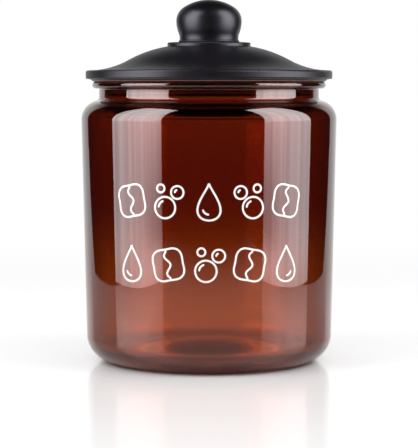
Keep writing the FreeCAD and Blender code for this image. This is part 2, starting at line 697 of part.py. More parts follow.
bodies = [
    make_glass_jar(),
    make_lid_cover(),
    make_seal_carrier(),
    make_seal_ring(),
    make_knob_collar(),
    make_knob(),
    make_knob_screw(),
    make_knob_washer(),
]
doc.recompute()

for item in doc.Objects:
    if "Invalid" in item.State or "Error" in item.State:
        raise RuntimeError(f"{item.Label} failed: {item.State}")
for body in bodies:
    if body.Shape.isNull() or not body.Shape.isValid() or len(body.Shape.Solids) != 1:
        raise RuntimeError(f"{body.Label} is not one valid solid")

os.makedirs("parts", exist_ok=True)
for body in bodies:
    body.Shape.exportStep(f"parts/{body.Label}.step")
    print(f"{body.Label}: {body.Shape.Volume / 1000:.2f} cm3, top at {body.Shape.BoundBox.ZMax:.2f} mm")
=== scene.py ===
import math

import bmesh
import bpy
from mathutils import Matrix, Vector


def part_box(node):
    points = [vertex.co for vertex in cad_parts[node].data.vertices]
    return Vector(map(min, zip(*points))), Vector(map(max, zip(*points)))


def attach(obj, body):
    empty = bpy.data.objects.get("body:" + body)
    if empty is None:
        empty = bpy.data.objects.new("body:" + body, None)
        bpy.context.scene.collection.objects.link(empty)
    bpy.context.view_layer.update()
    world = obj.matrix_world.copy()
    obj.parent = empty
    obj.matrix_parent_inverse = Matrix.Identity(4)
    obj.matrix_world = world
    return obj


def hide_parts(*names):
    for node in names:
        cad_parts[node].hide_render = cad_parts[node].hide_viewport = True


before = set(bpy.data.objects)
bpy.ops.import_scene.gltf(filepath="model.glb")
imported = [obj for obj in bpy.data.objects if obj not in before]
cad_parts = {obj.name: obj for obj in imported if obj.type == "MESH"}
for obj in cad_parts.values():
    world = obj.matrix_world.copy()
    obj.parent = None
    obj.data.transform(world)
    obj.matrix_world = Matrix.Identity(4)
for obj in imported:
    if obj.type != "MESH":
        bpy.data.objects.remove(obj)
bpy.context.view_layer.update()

# ---------------------------------------------------------------------------
# Camera: a long lens about 1.1 m in front of the jar, level with its neck and tipped slightly down, so that
# the base shows as a flat oval through the wall. It isn't part of the jar.
# ---------------------------------------------------------------------------
MM = 0.001
camera_distance = 1123.5 * MM
camera_height = 165.8 * MM
camera_tip = math.radians(4.2)
lens_length = 147.2
sensor_width = 36.0


def put_in_scene(name, data):
    """An object that holds this lens, lamp or mesh."""
    thing = bpy.data.objects.new(name, data)
    bpy.context.scene.collection.objects.link(thing)
    return thing


camera_data = bpy.data.cameras.new("camera")
camera_data.sensor_width = sensor_width
camera_data.lens = lens_length
camera = put_in_scene("camera", camera_data)
camera.location = (0.0, -camera_distance, camera_height)
camera.rotation_euler = (math.pi / 2 - camera_tip, 0.0, 0.0)
bpy.context.scene.camera = camera
bpy.context.scene.view_settings.view_transform = "Standard"

# ---------------------------------------------------------------------------
# Studio: a white gloss table top with a plain white surround, a tall soft box on either side, and a dim
# room in front. None of it is part of the jar.
# ---------------------------------------------------------------------------


def new_finish(name):
    """A material with this name and no nodes yet."""
    finish = bpy.data.materials.new(name)
    finish.use_nodes = True
    finish.node_tree.nodes.clear()
    return finish


def join(finish, source, socket):
    """Sets a number or a colour on a socket, or leads a node or one of its outputs into it."""
    if isinstance(source, bpy.types.Node):
        source = source.outputs[0]
    if isinstance(source, (int, float)):
        socket.default_value = source
    elif isinstance(source, tuple):
        socket.default_value = (*source, 1.0)
    else:
        finish.node_tree.links.new(source, socket)


def add(finish, kind, inputs=None, **settings):
    """A node of a kind, with its settings and with what goes into its inputs."""
    node = finish.node_tree.nodes.new(kind)
    for key, setting in settings.items():
        setattr(node, key, setting)
    for key, source in (inputs or {}).items():
        join(finish, source, node.inputs[key])
    return node


def worked(finish, operation, *parts):
    """A sum, product, comparison or the like of numbers or of other nodes' outputs."""
    return add(finish, "ShaderNodeMath", dict(enumerate(parts)), operation=operation).outputs[0]


def fade(finish, source, low, high, start=0.0, end=1.0):
    """Start below the low mark, end above the high mark, and a smooth change between."""
    return add(finish, "ShaderNodeMapRange", {
        "Value": source, "From Min": low, "From Max": high, "To Min": start, "To Max": end,
    }, interpolation_type="SMOOTHSTEP").outputs["Result"]


def choose(finish, switch, no, yes):
    """One number where the switch is 0 and another where it is 1."""
    return add(finish, "ShaderNodeMix", {0: switch, 2: no, 3: yes}, data_type="FLOAT").outputs[0]


def reaches(finish, place):
    """How far a place lies across, back and up."""
    return add(finish, "ShaderNodeSeparateXYZ", {"Vector": place}).outputs


def place_on(finish):
    """Places fixed to the piece itself."""
    return add(finish, "ShaderNodeTexCoord").outputs["Object"]


# The white backdrop stands behind the jar. It ends about 40 degrees to either side, and fades out between
# 17 and 37 degrees above the table. Glass and lid mirror it, and elsewhere they mirror the dim room.
backdrop_sides = (math.cos(math.radians(41.5)), math.cos(math.radians(39.0)))
backdrop_top = (0.30, 0.60)
room_level = 0.012
ambient_level = 0.72
studio = bpy.data.worlds.new("studio")
bpy.context.scene.world = studio
studio.use_nodes = True
studio.node_tree.nodes.clear()
direction = reaches(studio, add(studio, "ShaderNodeTexCoord").outputs["Generated"])
level_reach = worked(studio, "SQRT", worked(
    studio, "SUBTRACT", 1.0, worked(studio, "POWER", direction["Z"], 2.0)))
behind = worked(studio, "DIVIDE", direction["Y"], level_reach)
room = choose(studio, worked(
    studio, "MULTIPLY",
    fade(studio, behind, *backdrop_sides),
    fade(studio, direction["Z"], *backdrop_top, 1.0, 0.0)), room_level, 1.0)
# Light that has come in through one wall and gone on into the other meets plain white.
faces_to_far_wall = 2.5
ray = add(studio, "ShaderNodeLightPath").outputs
seen_through = choose(
    studio, worked(studio, "GREATER_THAN", ray["Transmission Depth"], faces_to_far_wall), room, 1.0)
level = choose(studio, ray["Is Glossy Ray"], ambient_level, room)
level = choose(studio, ray["Is Transmission Ray"], level, seen_through)
# To the eye the surround is white behind the jar and pale grey to the sides and in front.
pale_level = 0.74
pale_to_white = (0.26, 0.70)
level = choose(studio, ray["Is Camera Ray"], level, fade(studio, behind, *pale_to_white, pale_level, 1.0))
background = add(studio, "ShaderNodeBackground", {"Color": (1.0, 1.0, 1.0), "Strength": level})
add(studio, "ShaderNodeOutputWorld", {"Surface": background})


def solid(name, form):
    """An object made of a finished form."""
    mesh = bpy.data.meshes.new(name)
    form.to_mesh(mesh)
    form.free()
    return put_in_scene(name, mesh)


# The table top is white gloss acrylic, a hair below the foot of the jar.
table_radius = 3.0
table_gap = 0.2 * MM
acrylic_white = (0.93, 0.93, 0.93)
table_form = bmesh.new()
bmesh.ops.create_circle(table_form, cap_ends=True, radius=table_radius, segments=96)
table = solid("table_top", table_form)
table.location.z = -table_gap
acrylic = new_finish("white_gloss_table")
place = reaches(acrylic, place_on(acrylic))
ray = add(acrylic, "ShaderNodeLightPath").outputs
off_axis = worked(acrylic, "SQRT", worked(
    acrylic, "ADD", worked(acrylic, "POWER", place["X"], 2.0), worked(acrylic, "POWER", place["Y"], 2.0)))
off_middle = worked(acrylic, "ABSOLUTE", place["X"])
# Its gloss is strongest close to the jar. To the eye it ends before the soft boxes, and no box shows in it.
gloss_reach = (0.09, 0.36)
near_gloss, far_gloss = 0.5, 0.12
gloss_sides = (0.15, 0.27)
to_one_side = choose(acrylic, ray["Is Glossy Ray"], fade(acrylic, off_middle, *gloss_sides), 0.0)
gloss_white = add(acrylic, "ShaderNodeBsdfPrincipled", {
    "Base Color": acrylic_white,
    "Roughness": 0.12,
    "IOR": 1.45,
    "Specular IOR Level": worked(
        acrylic, "MULTIPLY",
        fade(acrylic, off_axis, *gloss_reach, near_gloss, far_gloss),
        worked(acrylic, "SUBTRACT", 1.0, to_one_side)),
})
# Its far parts turn into the plain surround.
surround_reach = (0.16, 0.9)
plain_white = add(acrylic, "ShaderNodeEmission", {"Strength": fade(
    acrylic, worked(acrylic, "DIVIDE", place["Y"], off_axis), *pale_to_white, pale_level, 1.0)})
surround = add(acrylic, "ShaderNodeMixShader", {
    0: fade(acrylic, off_axis, *surround_reach), 1: gloss_white, 2: plain_white})
# What the glass and the lid mirror of the table ends at its edge, with the dim room beyond. Behind the jar
# the table widens towards the backdrop.
half_table = 0.43
soft_edge = 0.015
widening_rate, widening_start = 0.82, -0.23
front_edge = (-0.70, -0.33)
widening = worked(acrylic, "MAXIMUM", worked(
    acrylic, "MULTIPLY_ADD", place["Y"], widening_rate, widening_start), 0.0)
beyond = worked(
    acrylic, "MAXIMUM",
    fade(acrylic, worked(acrylic, "SUBTRACT", off_middle, widening), half_table, half_table + soft_edge),
    fade(acrylic, place["Y"], *front_edge, 1.0, 0.0))
mirrored = worked(
    acrylic, "MULTIPLY", ray["Is Glossy Ray"], worked(acrylic, "SUBTRACT", 1.0, ray["Is Transmission Ray"]))
dark_room = add(acrylic, "ShaderNodeEmission", {"Strength": room_level})
table_edge = add(acrylic, "ShaderNodeMixShader", {
    0: worked(acrylic, "MULTIPLY", beyond, mirrored), 1: surround, 2: dark_room})
add(acrylic, "ShaderNodeOutputMaterial", {"Surface": table_edge})
table.data.materials.append(acrylic)

# Soft boxes: bright panels that the glass and the lid mirror, each with a lamp that lights everything else.
# A panel's own places run from -0.5 to 0.5 across and up.
box_distance = 0.42
box_width = 0.385
box_height = 0.86
strength_up = ((0.0, 0.36), (0.015, 0.42), (0.035, 0.47), (0.07, 0.46),
               (0.155, 0.55), (0.19, 0.72), (0.35, 0.75), (1.0, 0.65))
edge_fall, edge_fall_levels = (0.1, 0.56), (1.05, 0.7)
front_gain, front_gain_levels = (-0.1, 0.5), (1.0, 1.25)
folds_across = 9.0
fold_marks, fold_levels = (0.25, 0.75), (0.88, 1.16)
front_dip, front_dip_depth = (-0.15, 0.5), 0.5
dip_foot, dip_middle, dip_top = -0.49, -0.45, -0.32
faces_past_one_wall = 1.5
before_first_mirror = 0.5
lamp_width = 0.5
lamp_height = 0.6
lamp_power = 3.4
lamp_setback = 1.35
lamp_level = 0.55
lamp_aim = Vector((0.0, 0.0, 0.1))
for side, azimuth, brightness, front_side, fold_start in (
        ("left", -63.7, 12.4, 1.0, 2.0), ("right", 70.4, 12.0, -1.0, 7.0)):
    turn = math.radians(azimuth)
    spot = Vector((math.sin(turn), -math.cos(turn), 0.0)) * box_distance
    panel_form = bmesh.new()
    bmesh.ops.create_grid(panel_form, x_segments=8, y_segments=8, size=0.5)
    panel = solid(f"soft_box_{side}", panel_form)
    panel.location = spot + Vector((0.0, 0.0, box_height / 2))
    panel.rotation_euler = (math.pi / 2, 0.0, turn)
    panel.scale = (box_width, box_height, 1.0)
    cloth = new_finish(f"soft_box_{side}")
    spread = reaches(cloth, place_on(cloth))
    rising = add(cloth, "ShaderNodeFloatCurve", {"Value": worked(cloth, "ADD", spread["Y"], 0.5)})
    marks = rising.mapping.curves[0].points
    marks[0].location, marks[1].location = strength_up[0], strength_up[-1]
    for part_way, strength in strength_up[1:-1]:
        marks.new(part_way, strength)
    rising.mapping.update()
    forwards = worked(cloth, "MULTIPLY", spread["X"], front_side)
    sideways = worked(
        cloth, "MULTIPLY",
        fade(cloth, worked(cloth, "ABSOLUTE", spread["X"]), *edge_fall, *edge_fall_levels),
        fade(cloth, forwards, *front_gain, *front_gain_levels))
    # The folds of its cloth front run up and down.
    folds = add(cloth, "ShaderNodeTexNoise", {
        "W": worked(cloth, "ADD", forwards, fold_start), "Scale": folds_across, "Detail": 2.0,
    }, noise_dimensions="1D")
    sideways = worked(
        cloth, "MULTIPLY", sideways, fade(cloth, folds.outputs["Fac"], *fold_marks, *fold_levels))
    # Low down, each panel is dimmer towards the front.
    low_down = worked(
        cloth, "MULTIPLY",
        fade(cloth, spread["Y"], dip_foot, dip_middle),
        fade(cloth, spread["Y"], dip_middle, dip_top, 1.0, 0.0))
    dimmed = worked(cloth, "SUBTRACT", 1.0, worked(
        cloth, "MULTIPLY", fade(cloth, forwards, *front_dip, 0.0, front_dip_depth), low_down))
    glow = add(cloth, "ShaderNodeEmission", {"Strength": worked(
        cloth, "MULTIPLY",
        worked(cloth, "MULTIPLY", rising, sideways),
        worked(cloth, "MULTIPLY", dimmed, brightness))})
    # Nothing of it shows straight through the glass.
    ray = add(cloth, "ShaderNodeLightPath").outputs
    straight_through = worked(
        cloth, "MULTIPLY",
        worked(cloth, "GREATER_THAN", ray["Transmission Depth"], faces_past_one_wall),
        worked(cloth, "LESS_THAN", ray["Glossy Depth"], before_first_mirror))
    clear = add(cloth, "ShaderNodeBsdfTransparent")
    seen = add(cloth, "ShaderNodeMixShader", {0: straight_through, 1: glow, 2: clear})
    add(cloth, "ShaderNodeOutputMaterial", {"Surface": seen})
    panel.data.materials.append(cloth)
    panel.visible_camera = False
    panel.visible_diffuse = False
    panel.visible_shadow = False
    lamp_data = bpy.data.lights.new(f"lamp_{side}", "AREA")
    lamp_data.shape = "RECTANGLE"
    lamp_data.size = lamp_width
    lamp_data.size_y = lamp_height
    lamp_data.energy = lamp_power
    lamp = put_in_scene(f"lamp_{side}", lamp_data)
    lamp.location = spot * lamp_setback + Vector((0.0, 0.0, lamp_level))
    lamp.rotation_euler = (lamp_aim - lamp.location).to_track_quat("-Z", "Y").to_euler()
    lamp.visible_glossy = False
    lamp.visible_camera = False

# ---------------------------------------------------------------------------
# Glass jar: one piece of blown and pressed clear glass, coloured amber on its outside. Thick base with a
# foot ring and a push-up under it, upright wall, round shoulder, short neck and a round bead at the lip.
# ---------------------------------------------------------------------------
lip_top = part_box("glass_jar")[1].z
body_radius = 78.0 * MM
wall_taper = 2.75 * MM
heel_radius = body_radius - wall_taper
heel_round = 16.0 * MM
shoulder_round = 12.0 * MM
shoulder_drop = 23.2 * MM
shoulder_centre = (body_radius - shoulder_round, lip_top - shoulder_drop)
wall = 3.6 * MM
shoulder_gain = 1.0 * MM
neck_radius = 67.2 * MM
neck_flare = 2.2 * MM
bore_radius = 63.5 * MM
lip_round = 2.2 * MM
lip_radius = 71.4 * MM
lip_root = 0.8 * MM
lip_inner_round = 1.5 * MM
neck_inner_flare = 6.0 * MM
inner_heel_round = 6.0 * MM
floor_level = 8.0 * MM
floor_rise = 5.0 * MM
floor_dome = 180.0 * MM
floor_blend = 60.0 * MM
recess_depth = 2.0 * MM
push_up = 8.0 * MM
push_up_round = 56.0 * MM
push_up_blend = 27.6 * MM
foot_inside = 52.0 * MM
foot_edge = 0.9 * MM
wall_steps = 24
steps_round = 192


def toward(centre, radius, other):
    """The place on a circle on the side of another place, as radius from the axis and height."""
    reach = math.hypot(other[0] - centre[0], other[1] - centre[1])
    return tuple(c + (o - c) * radius / reach for c, o in zip(centre, other))


def second_leg(longest, leg):
    """The other leg of a right triangle."""
    return math.sqrt(longest ** 2 - leg ** 2)


def wall_between(lower, lower_round, upper, upper_round):
    """The foot and the top of a straight wall that touches the curve below it and the curve above it."""
    rise = upper[1] - lower[1]
    out = upper[0] - lower[0]
    lean = math.asin((lower_round - upper_round) / math.hypot(rise, out)) - math.atan2(out, rise)
    return [(centre[0] + radius * math.cos(lean), centre[1] + radius * math.sin(lean))
            for centre, radius in ((lower, lower_round), (upper, upper_round))]


def round_to(outline, centre, end, clockwise=False, degrees=3.5, fewest=4):
    """Carries an outline on along an arc about a centre, in even steps of about so many degrees."""
    start = outline[-1]
    radius = math.hypot(start[0] - centre[0], start[1] - centre[1])
    first = math.atan2(start[1] - centre[1], start[0] - centre[0])
    sweep = math.atan2(end[1] - centre[1], end[0] - centre[0]) - first
    sweep = -(-sweep % math.tau) if clockwise else sweep % math.tau
    steps = max(fewest, math.ceil(abs(math.degrees(sweep)) / degrees))
    for step in range(1, steps + 1):
        angle = first + sweep * step / steps
        outline.append((centre[0] + radius * math.cos(angle), centre[1] + radius * math.sin(angle)))


def straight_to(outline, end, steps=1):
    """Carries an outline straight on, in even steps."""
    start = outline[-1]
    for step in range(1, steps + 1):
        outline.append(tuple(s + (e - s) * step / steps for s, e in zip(start, end)))


# Underside, from the middle out: push-up, shelf, foot ring.
push_centre = (0.0, recess_depth + push_up - push_up_round)
blend_height = recess_depth + push_up_blend
blend_centre = (second_leg(push_up_round + push_up_blend, blend_height - push_centre[1]), blend_height)
outline = [(0.0, recess_depth + push_up)]
round_to(outline, push_centre, toward(push_centre, push_up_round, blend_centre),
         clockwise=True, degrees=1.2)
round_to(outline, blend_centre, (blend_centre[0], recess_depth), degrees=2.0)
straight_to(outline, (foot_inside - foot_edge, recess_depth), steps=6)
round_to(outline, (foot_inside - foot_edge, recess_depth - foot_edge),
         (foot_inside, recess_depth - foot_edge), clockwise=True, degrees=15.0)
straight_to(outline, (foot_inside, foot_edge))
round_to(outline, (foot_inside + foot_edge, foot_edge), (foot_inside + foot_edge, 0.0), degrees=15.0)
straight_to(outline, (heel_radius - heel_round, 0.0), steps=3)

# Outside, upwards: heel, wall, shoulder, neck, lip bead.
heel_centre = (heel_radius - heel_round, heel_round)
wall_foot, wall_top = wall_between(heel_centre, heel_round, shoulder_centre, shoulder_round)
flare_centre = (neck_radius + neck_flare, shoulder_centre[1] + second_leg(
    shoulder_round + neck_flare, neck_radius + neck_flare - shoulder_centre[0]))
bead_under = lip_top - 2 * lip_round
round_to(outline, heel_centre, wall_foot, degrees=3.0)
straight_to(outline, wall_top, wall_steps)
round_to(outline, shoulder_centre, toward(shoulder_centre, shoulder_round, flare_centre))
round_to(outline, flare_centre, (neck_radius, flare_centre[1]), clockwise=True, degrees=8.0)
straight_to(outline, (neck_radius, bead_under - lip_root), steps=2)
round_to(outline, (neck_radius + lip_root, bead_under - lip_root), (neck_radius + lip_root, bead_under),
         clockwise=True, degrees=15.0)
straight_to(outline, (lip_radius - lip_round, bead_under))
round_to(outline, (lip_radius - lip_round, lip_top - lip_round),
         (lip_radius - lip_round, lip_top), degrees=8.0)
straight_to(outline, (bore_radius + lip_inner_round, lip_top), steps=2)
coat_end = len(outline)

# Inside, downwards: mouth, shoulder, wall, heel and domed floor.
inner_shoulder_centre = (shoulder_centre[0], shoulder_centre[1] - shoulder_gain)
inner_shoulder_round = shoulder_round - wall
inner_flare_centre = (bore_radius + neck_inner_flare, inner_shoulder_centre[1] + second_leg(
    inner_shoulder_round + neck_inner_flare, bore_radius + neck_inner_flare - shoulder_centre[0]))
inner_heel_centre = (heel_radius - wall - inner_heel_round, floor_level + inner_heel_round)
inner_foot, inner_top = wall_between(
    inner_heel_centre, inner_heel_round, inner_shoulder_centre, inner_shoulder_round)
dome_centre = (0.0, floor_level + floor_rise - floor_dome)
ring_height = floor_level + floor_blend
ring_centre = (second_leg(floor_dome + floor_blend, ring_height - dome_centre[1]), ring_height)
round_to(outline, (bore_radius + lip_inner_round, lip_top - lip_inner_round),
         (bore_radius, lip_top - lip_inner_round), degrees=10.0)
straight_to(outline, (bore_radius, inner_flare_centre[1]), steps=3)
round_to(outline, inner_flare_centre, toward(inner_flare_centre, neck_inner_flare, inner_shoulder_centre),
         degrees=6.0)
round_to(outline, inner_shoulder_centre, inner_top, clockwise=True)
straight_to(outline, inner_foot, wall_steps)
round_to(outline, inner_heel_centre, (inner_heel_centre[0], floor_level), clockwise=True)
straight_to(outline, (ring_centre[0], floor_level), steps=6)
round_to(outline, ring_centre, toward(dome_centre, floor_dome, ring_centre), clockwise=True, degrees=1.5)
round_to(outline, dome_centre, (0.0, floor_level + floor_rise), degrees=1.2)


def turned_glass(name, outline, around, coat_end):
    """An outline from the axis to the axis, turned once around it, and coated up to the coat's end."""
    form = bmesh.new()
    coated = form.faces.layers.float.new("coated")
    under = form.verts.new((0.0, 0.0, outline[0][1]))
    rings = []
    for radius, height in outline[1:-1]:
        ring = []
        for step in range(around):
            angle = math.tau * step / around
            ring.append(form.verts.new((radius * math.cos(angle), radius * math.sin(angle), height)))
        rings.append(ring)
    inside = form.verts.new((0.0, 0.0, outline[-1][1]))
    for step in range(around):
        beside = (step + 1) % around
        face = form.faces.new((under, rings[0][beside], rings[0][step]))
        face[coated] = 1.0
        for place, (lower, upper) in enumerate(zip(rings, rings[1:]), 1):
            face = form.faces.new((lower[step], lower[beside], upper[beside], upper[step]))
            face[coated] = 1.0 if place < coat_end else 0.0
        form.faces.new((rings[-1][step], rings[-1][beside], inside))
    bmesh.ops.recalc_face_normals(form, faces=form.faces)
    piece = solid(name, form)
    piece.data.shade_smooth()
    return piece


glass = turned_glass("amber_glass_jar", outline, steps_round, coat_end)
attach(glass, "jar")
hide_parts("glass_jar")


def tones(finish, source, *stops):
    """Colours at rising levels of a source, with an even change from each to the next."""
    node = add(finish, "ShaderNodeValToRGB", {0: source})
    steps = node.color_ramp.elements
    for step, (level, colour) in zip(steps, (stops[0], stops[-1])):
        step.position = level
        step.color = (*colour, 1.0)
    for level, colour in stops[1:-1]:
        steps.new(level).color = (*colour, 1.0)
    return node.outputs["Color"]


def laid_over(finish, share, under, over, how="MIX"):
    """A share of one colour laid over another, or multiplied into it."""
    return add(finish, "ShaderNodeMix", {0: share, 6: under, 7: over},
               data_type="RGBA", blend_type=how).outputs[2]


def mottle(finish, scale, detail=2.0, roughness=0.5):
    """An uneven pattern fixed to the piece. Its patches are about one over the scale wide, in metres."""
    return add(finish, "ShaderNodeTexNoise", {
        "Vector": place_on(finish), "Scale": scale, "Detail": detail, "Roughness": roughness,
    }).outputs["Fac"]


def embossed(finish, pattern, strength, depth):
    """The slopes of a surface that a pattern raises by up to a depth."""
    return add(finish, "ShaderNodeBump", {
        "Strength": strength, "Distance": depth, "Height": pattern}).outputs["Normal"]


# The tint is paler towards the base and at the neck. It changes between three pairs of heights.
low_tint = (0.272, 0.0425, 0.0037)
wall_tint = (0.078, 0.0044, 0.0010)
shoulder_tint = (0.097, 0.0068, 0.0012)
neck_tint = (0.150, 0.0170, 0.0025)
up_wall = (20.0 * MM, 100.0 * MM)
up_shoulder = (118.0 * MM, 150.0 * MM)
up_neck = (151.0 * MM, 158.0 * MM)
wall_step = 0.5
shoulder_step = 0.6
amber = new_finish("amber_glass")
height = reaches(amber, place_on(amber))["Z"]
tint_step = worked(
    amber, "ADD",
    worked(amber, "ADD",
           fade(amber, height, *up_wall, 0.0, wall_step),
           fade(amber, height, *up_shoulder, 0.0, shoulder_step - wall_step)),
    fade(amber, height, *up_neck, 0.0, 1.0 - shoulder_step))
tint = tones(amber, tint_step, (0.0, low_tint), (wall_step, wall_tint), (shoulder_step, shoulder_tint),
             (1.0, neck_tint))
# Close above the table the coloured skin is thicker, and at a slant more of it lies in the light's way.
thick_skin = (0.5, 0.5, 0.5)
thick_skin_end = (3.0 * MM, 12.0 * MM)
slant_tint = (0.30, 0.24, 0.24)
slant = (0.05, 0.6)
tint = laid_over(amber, fade(amber, height, *thick_skin_end, 1.0, 0.0), tint, thick_skin, "MULTIPLY")
facing = add(amber, "ShaderNodeLayerWeight").outputs["Facing"]
tint = laid_over(amber, fade(amber, facing, *slant), tint, slant_tint, "MULTIPLY")
# The inside has no skin and is clear. The glass itself takes away a little light, and is slightly wavy.
no_tint = (1.0, 1.0, 1.0)
coated = add(amber, "ShaderNodeAttribute", attribute_name="coated").outputs["Fac"]
waves = mottle(amber, scale=22.0, roughness=0.4)
glass_surface = add(amber, "ShaderNodeBsdfPrincipled", {
    "Base Color": laid_over(amber, coated, no_tint, tint),
    "Roughness": 0.0,
    "IOR": 1.5,
    "Transmission Weight": 1.0,
    "Specular Tint": (1.13, 0.98, 0.98),
    "Normal": embossed(amber, waves, strength=0.12, depth=0.8 * MM),
})
glass_body = add(amber, "ShaderNodeVolumeAbsorption", {"Color": (0.70, 0.45, 0.30), "Density": 6.0})
add(amber, "ShaderNodeOutputMaterial", {"Surface": glass_surface, "Volume": glass_body})
glass.data.materials.append(amber)

# Light runs round inside the thick foot many times before it leaves.
most_bounces = 40
most_in_glass = 32
bpy.context.scene.cycles.max_bounces = most_bounces
bpy.context.scene.cycles.glossy_bounces = most_in_glass
bpy.context.scene.cycles.transmission_bounces = most_in_glass

# ---------------------------------------------------------------------------
# Print on the front: two rows of pods, drops and bubbles in one thin white line. Ceramic ink, screen
# printed on the wall and fired, so that it stands a few hundredths of a millimetre proud.
# ---------------------------------------------------------------------------
line_width = 1.15 * MM
ink_depth = 0.03 * MM
ink_rise = 0.05 * MM
round_end = (30.0, 58.0, 80.0)
motif_pitch = 24.0 * MM
top_row = 101.5 * MM
bottom_row = 65.0 * MM


def wall_radius(height):
    """Outside radius of the jar's upright wall at a height."""
    part_way = (height - wall_foot[1]) / (wall_top[1] - wall_foot[1])
    return wall_foot[0] + (wall_top[0] - wall_foot[0]) * part_way


def ink_line(form, path, closed):
    """A line of even width on the wall, through places across and up. An open line has round ends."""
    half = line_width / 2
    stations = []
    for step, here in enumerate(path):
        before = path[step - 1] if step or closed else here
        after = path[(step + 1) % len(path)] if step + 1 < len(path) or closed else here
        stations.append((Vector(here), (Vector(after) - Vector(before)).normalized(), half))
    if not closed:
        (start, start_run, _), (end, end_run, _) = stations[0], stations[-1]
        for turn in map(math.radians, round_end):
            reach = half * math.sin(turn)
            stations.insert(0, (start - start_run * reach, start_run, half * math.cos(turn)))
            stations.append((end + end_run * reach, end_run, half * math.cos(turn)))
    rings = []
    for centre, run, reach in stations:
        ring = []
        for side, lift in ((1, ink_rise), (-1, ink_rise), (-1, -ink_depth), (1, -ink_depth)):
            up = centre.y + side * reach * run.x
            angle = (centre.x - side * reach * run.y) / wall_radius(up)
            radius = wall_radius(up) + lift
            ring.append(form.verts.new((radius * math.sin(angle), -radius * math.cos(angle), up)))
        rings.append(ring)
    pairs = list(zip(rings, rings[1:]))
    if closed:
        pairs.append((rings[-1], rings[0]))
    else:
        form.faces.new(rings[0])
        form.faces.new(rings[-1])
    for ring, further in pairs:
        for corner in range(4):
            beside = (corner + 1) % 4
            form.faces.new((ring[corner], ring[beside], further[beside], further[corner]))


def round_line(centre, radius, start, end, steps):
    """Places along part of a circle, from one angle to another in degrees."""
    whole_turn = end - start == 360.0
    places = []
    for step in range(steps if whole_turn else steps + 1):
        angle = math.radians(start + (end - start) * step / steps)
        places.append((centre[0] + radius * math.cos(angle), centre[1] + radius * math.sin(angle)))
    return places


# Each bubble's place across and up from the middle of its group, and its radius, in millimetres.
bubble_group = ((-1.8, -3.4, 6.2), (5.6, 5.4, 3.7), (-4.4, 7.6, 2.3))
too_small_for_glint = 3.0
bubble_glint_inset = 2.3
bubble_glint_angles = (112.0, 172.0)
bubble_steps = 44
glint_steps = 8


def bubbles(form, across, up, side):
    """Three bubbles, with a glint inside the larger two."""
    for aside, above, radius in bubble_group:
        centre = (across + side * aside * MM, up + above * MM)
        ink_line(form, round_line(centre, radius * MM, 0.0, 360.0, bubble_steps), closed=True)
        if radius > too_small_for_glint:
            inset = (radius - bubble_glint_inset) * MM
            ink_line(form, round_line(centre, inset, *bubble_glint_angles, glint_steps), closed=False)


drop_half_width = 9.6 * MM
drop_half_height = 10.6 * MM
drop_point = 1.6
drop_glint = 3.6 * MM
drop_glint_angles = {1: (200.0, 262.0), -1: (340.0, 278.0)}
drop_steps = 64


def drop(form, across, up, side):
    """A drop with a glint low on one side."""
    outline = []
    for step in range(drop_steps):
        turn = math.tau * (step + 0.5) / drop_steps
        width = drop_half_width * math.sin(turn) * math.sin(turn / 2) ** drop_point
        outline.append((across + width, up + drop_half_height * math.cos(turn)))
    ink_line(form, outline, closed=True)
    glint = round_line((across, up - drop_glint), drop_glint, *drop_glint_angles[side], glint_steps)
    ink_line(form, glint, closed=False)


# The seam's reach along the pod and its swing to either side are in millimetres.
pod_radius = 9.8 * MM
pod_corners = 4
pod_pinch = 0.085
pod_tilt = math.radians(11.0)
pod_steps = 88
seam_reach = 7.8
seam_swing = 1.5
seam_waves = 1.5
seam_steps = 36


def pod(form, across, up, side):
    """A pillow shaped pod, set a little askew, with a wavy seam from edge to edge between its fillings."""
    askew = side * pod_tilt
    outline = []
    for step in range(pod_steps):
        turn = math.tau * step / pod_steps
        radius = pod_radius * (1.0 - pod_pinch * math.cos(pod_corners * turn))
        outline.append((across + radius * math.cos(turn + askew), up + radius * math.sin(turn + askew)))
    ink_line(form, outline, closed=True)
    wave = []
    for step in range(seam_steps + 1):
        along = -seam_reach + 2 * seam_reach * step / seam_steps
        aside = seam_swing * math.cos(seam_waves * math.pi * along / seam_reach)
        wave.append((across + (aside * math.cos(askew) - along * math.sin(askew)) * MM,
                     up + (aside * math.sin(askew) + along * math.cos(askew)) * MM))
    ink_line(form, wave, closed=False)


print_form = bmesh.new()
for row, motifs in (
        (top_row, (pod, bubbles, drop, bubbles, pod)),
        (bottom_row, (drop, pod, bubbles, pod, drop))):
    middle = len(motifs) // 2
    for place, motif in enumerate(motifs):
        motif(print_form, (place - middle) * motif_pitch, row, 1 if place <= middle else -1)
bmesh.ops.recalc_face_normals(print_form, faces=print_form.faces)
front_print = solid("front_print", print_form)
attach(front_print, "jar")

# The ink is a little thin in places, where the screen's weave held it back.
thin_ink = (0.80, 0.72, 0.70)
full_ink = (0.90, 0.85, 0.83)
ink = new_finish("white_ceramic_ink")
cover = mottle(ink, scale=240.0, detail=3.0, roughness=0.6)
ink_surface = add(ink, "ShaderNodeBsdfPrincipled", {
    "Base Color": tones(ink, cover, (0.3, thin_ink), (0.55, full_ink)),
    "Roughness": fade(ink, cover, low=0.3, high=0.7, start=0.48, end=0.36),
    "IOR": 1.5,
    "Normal": embossed(ink, cover, strength=0.2, depth=0.03 * MM),
})
add(ink, "ShaderNodeOutputMaterial", {"Surface": ink_surface})
front_print.data.materials.append(ink)

# ---------------------------------------------------------------------------
# Cover, collar and knob: a cover pressed from sheet steel, its edge folded inwards, and a cast collar and
# knob that a screw pulls onto the seat in its middle. All three have a fine, matte black powder coat.
# ---------------------------------------------------------------------------
steel_coat = (0.0016, 0.0011, 0.0022)
casting_coat = (0.0014, 0.0010, 0.0020)
tone_spread = 0.15
roughness_spread = 0.03
joint_dust = (0.2 * MM, 1.1 * MM)
dusty_roughness = 0.95


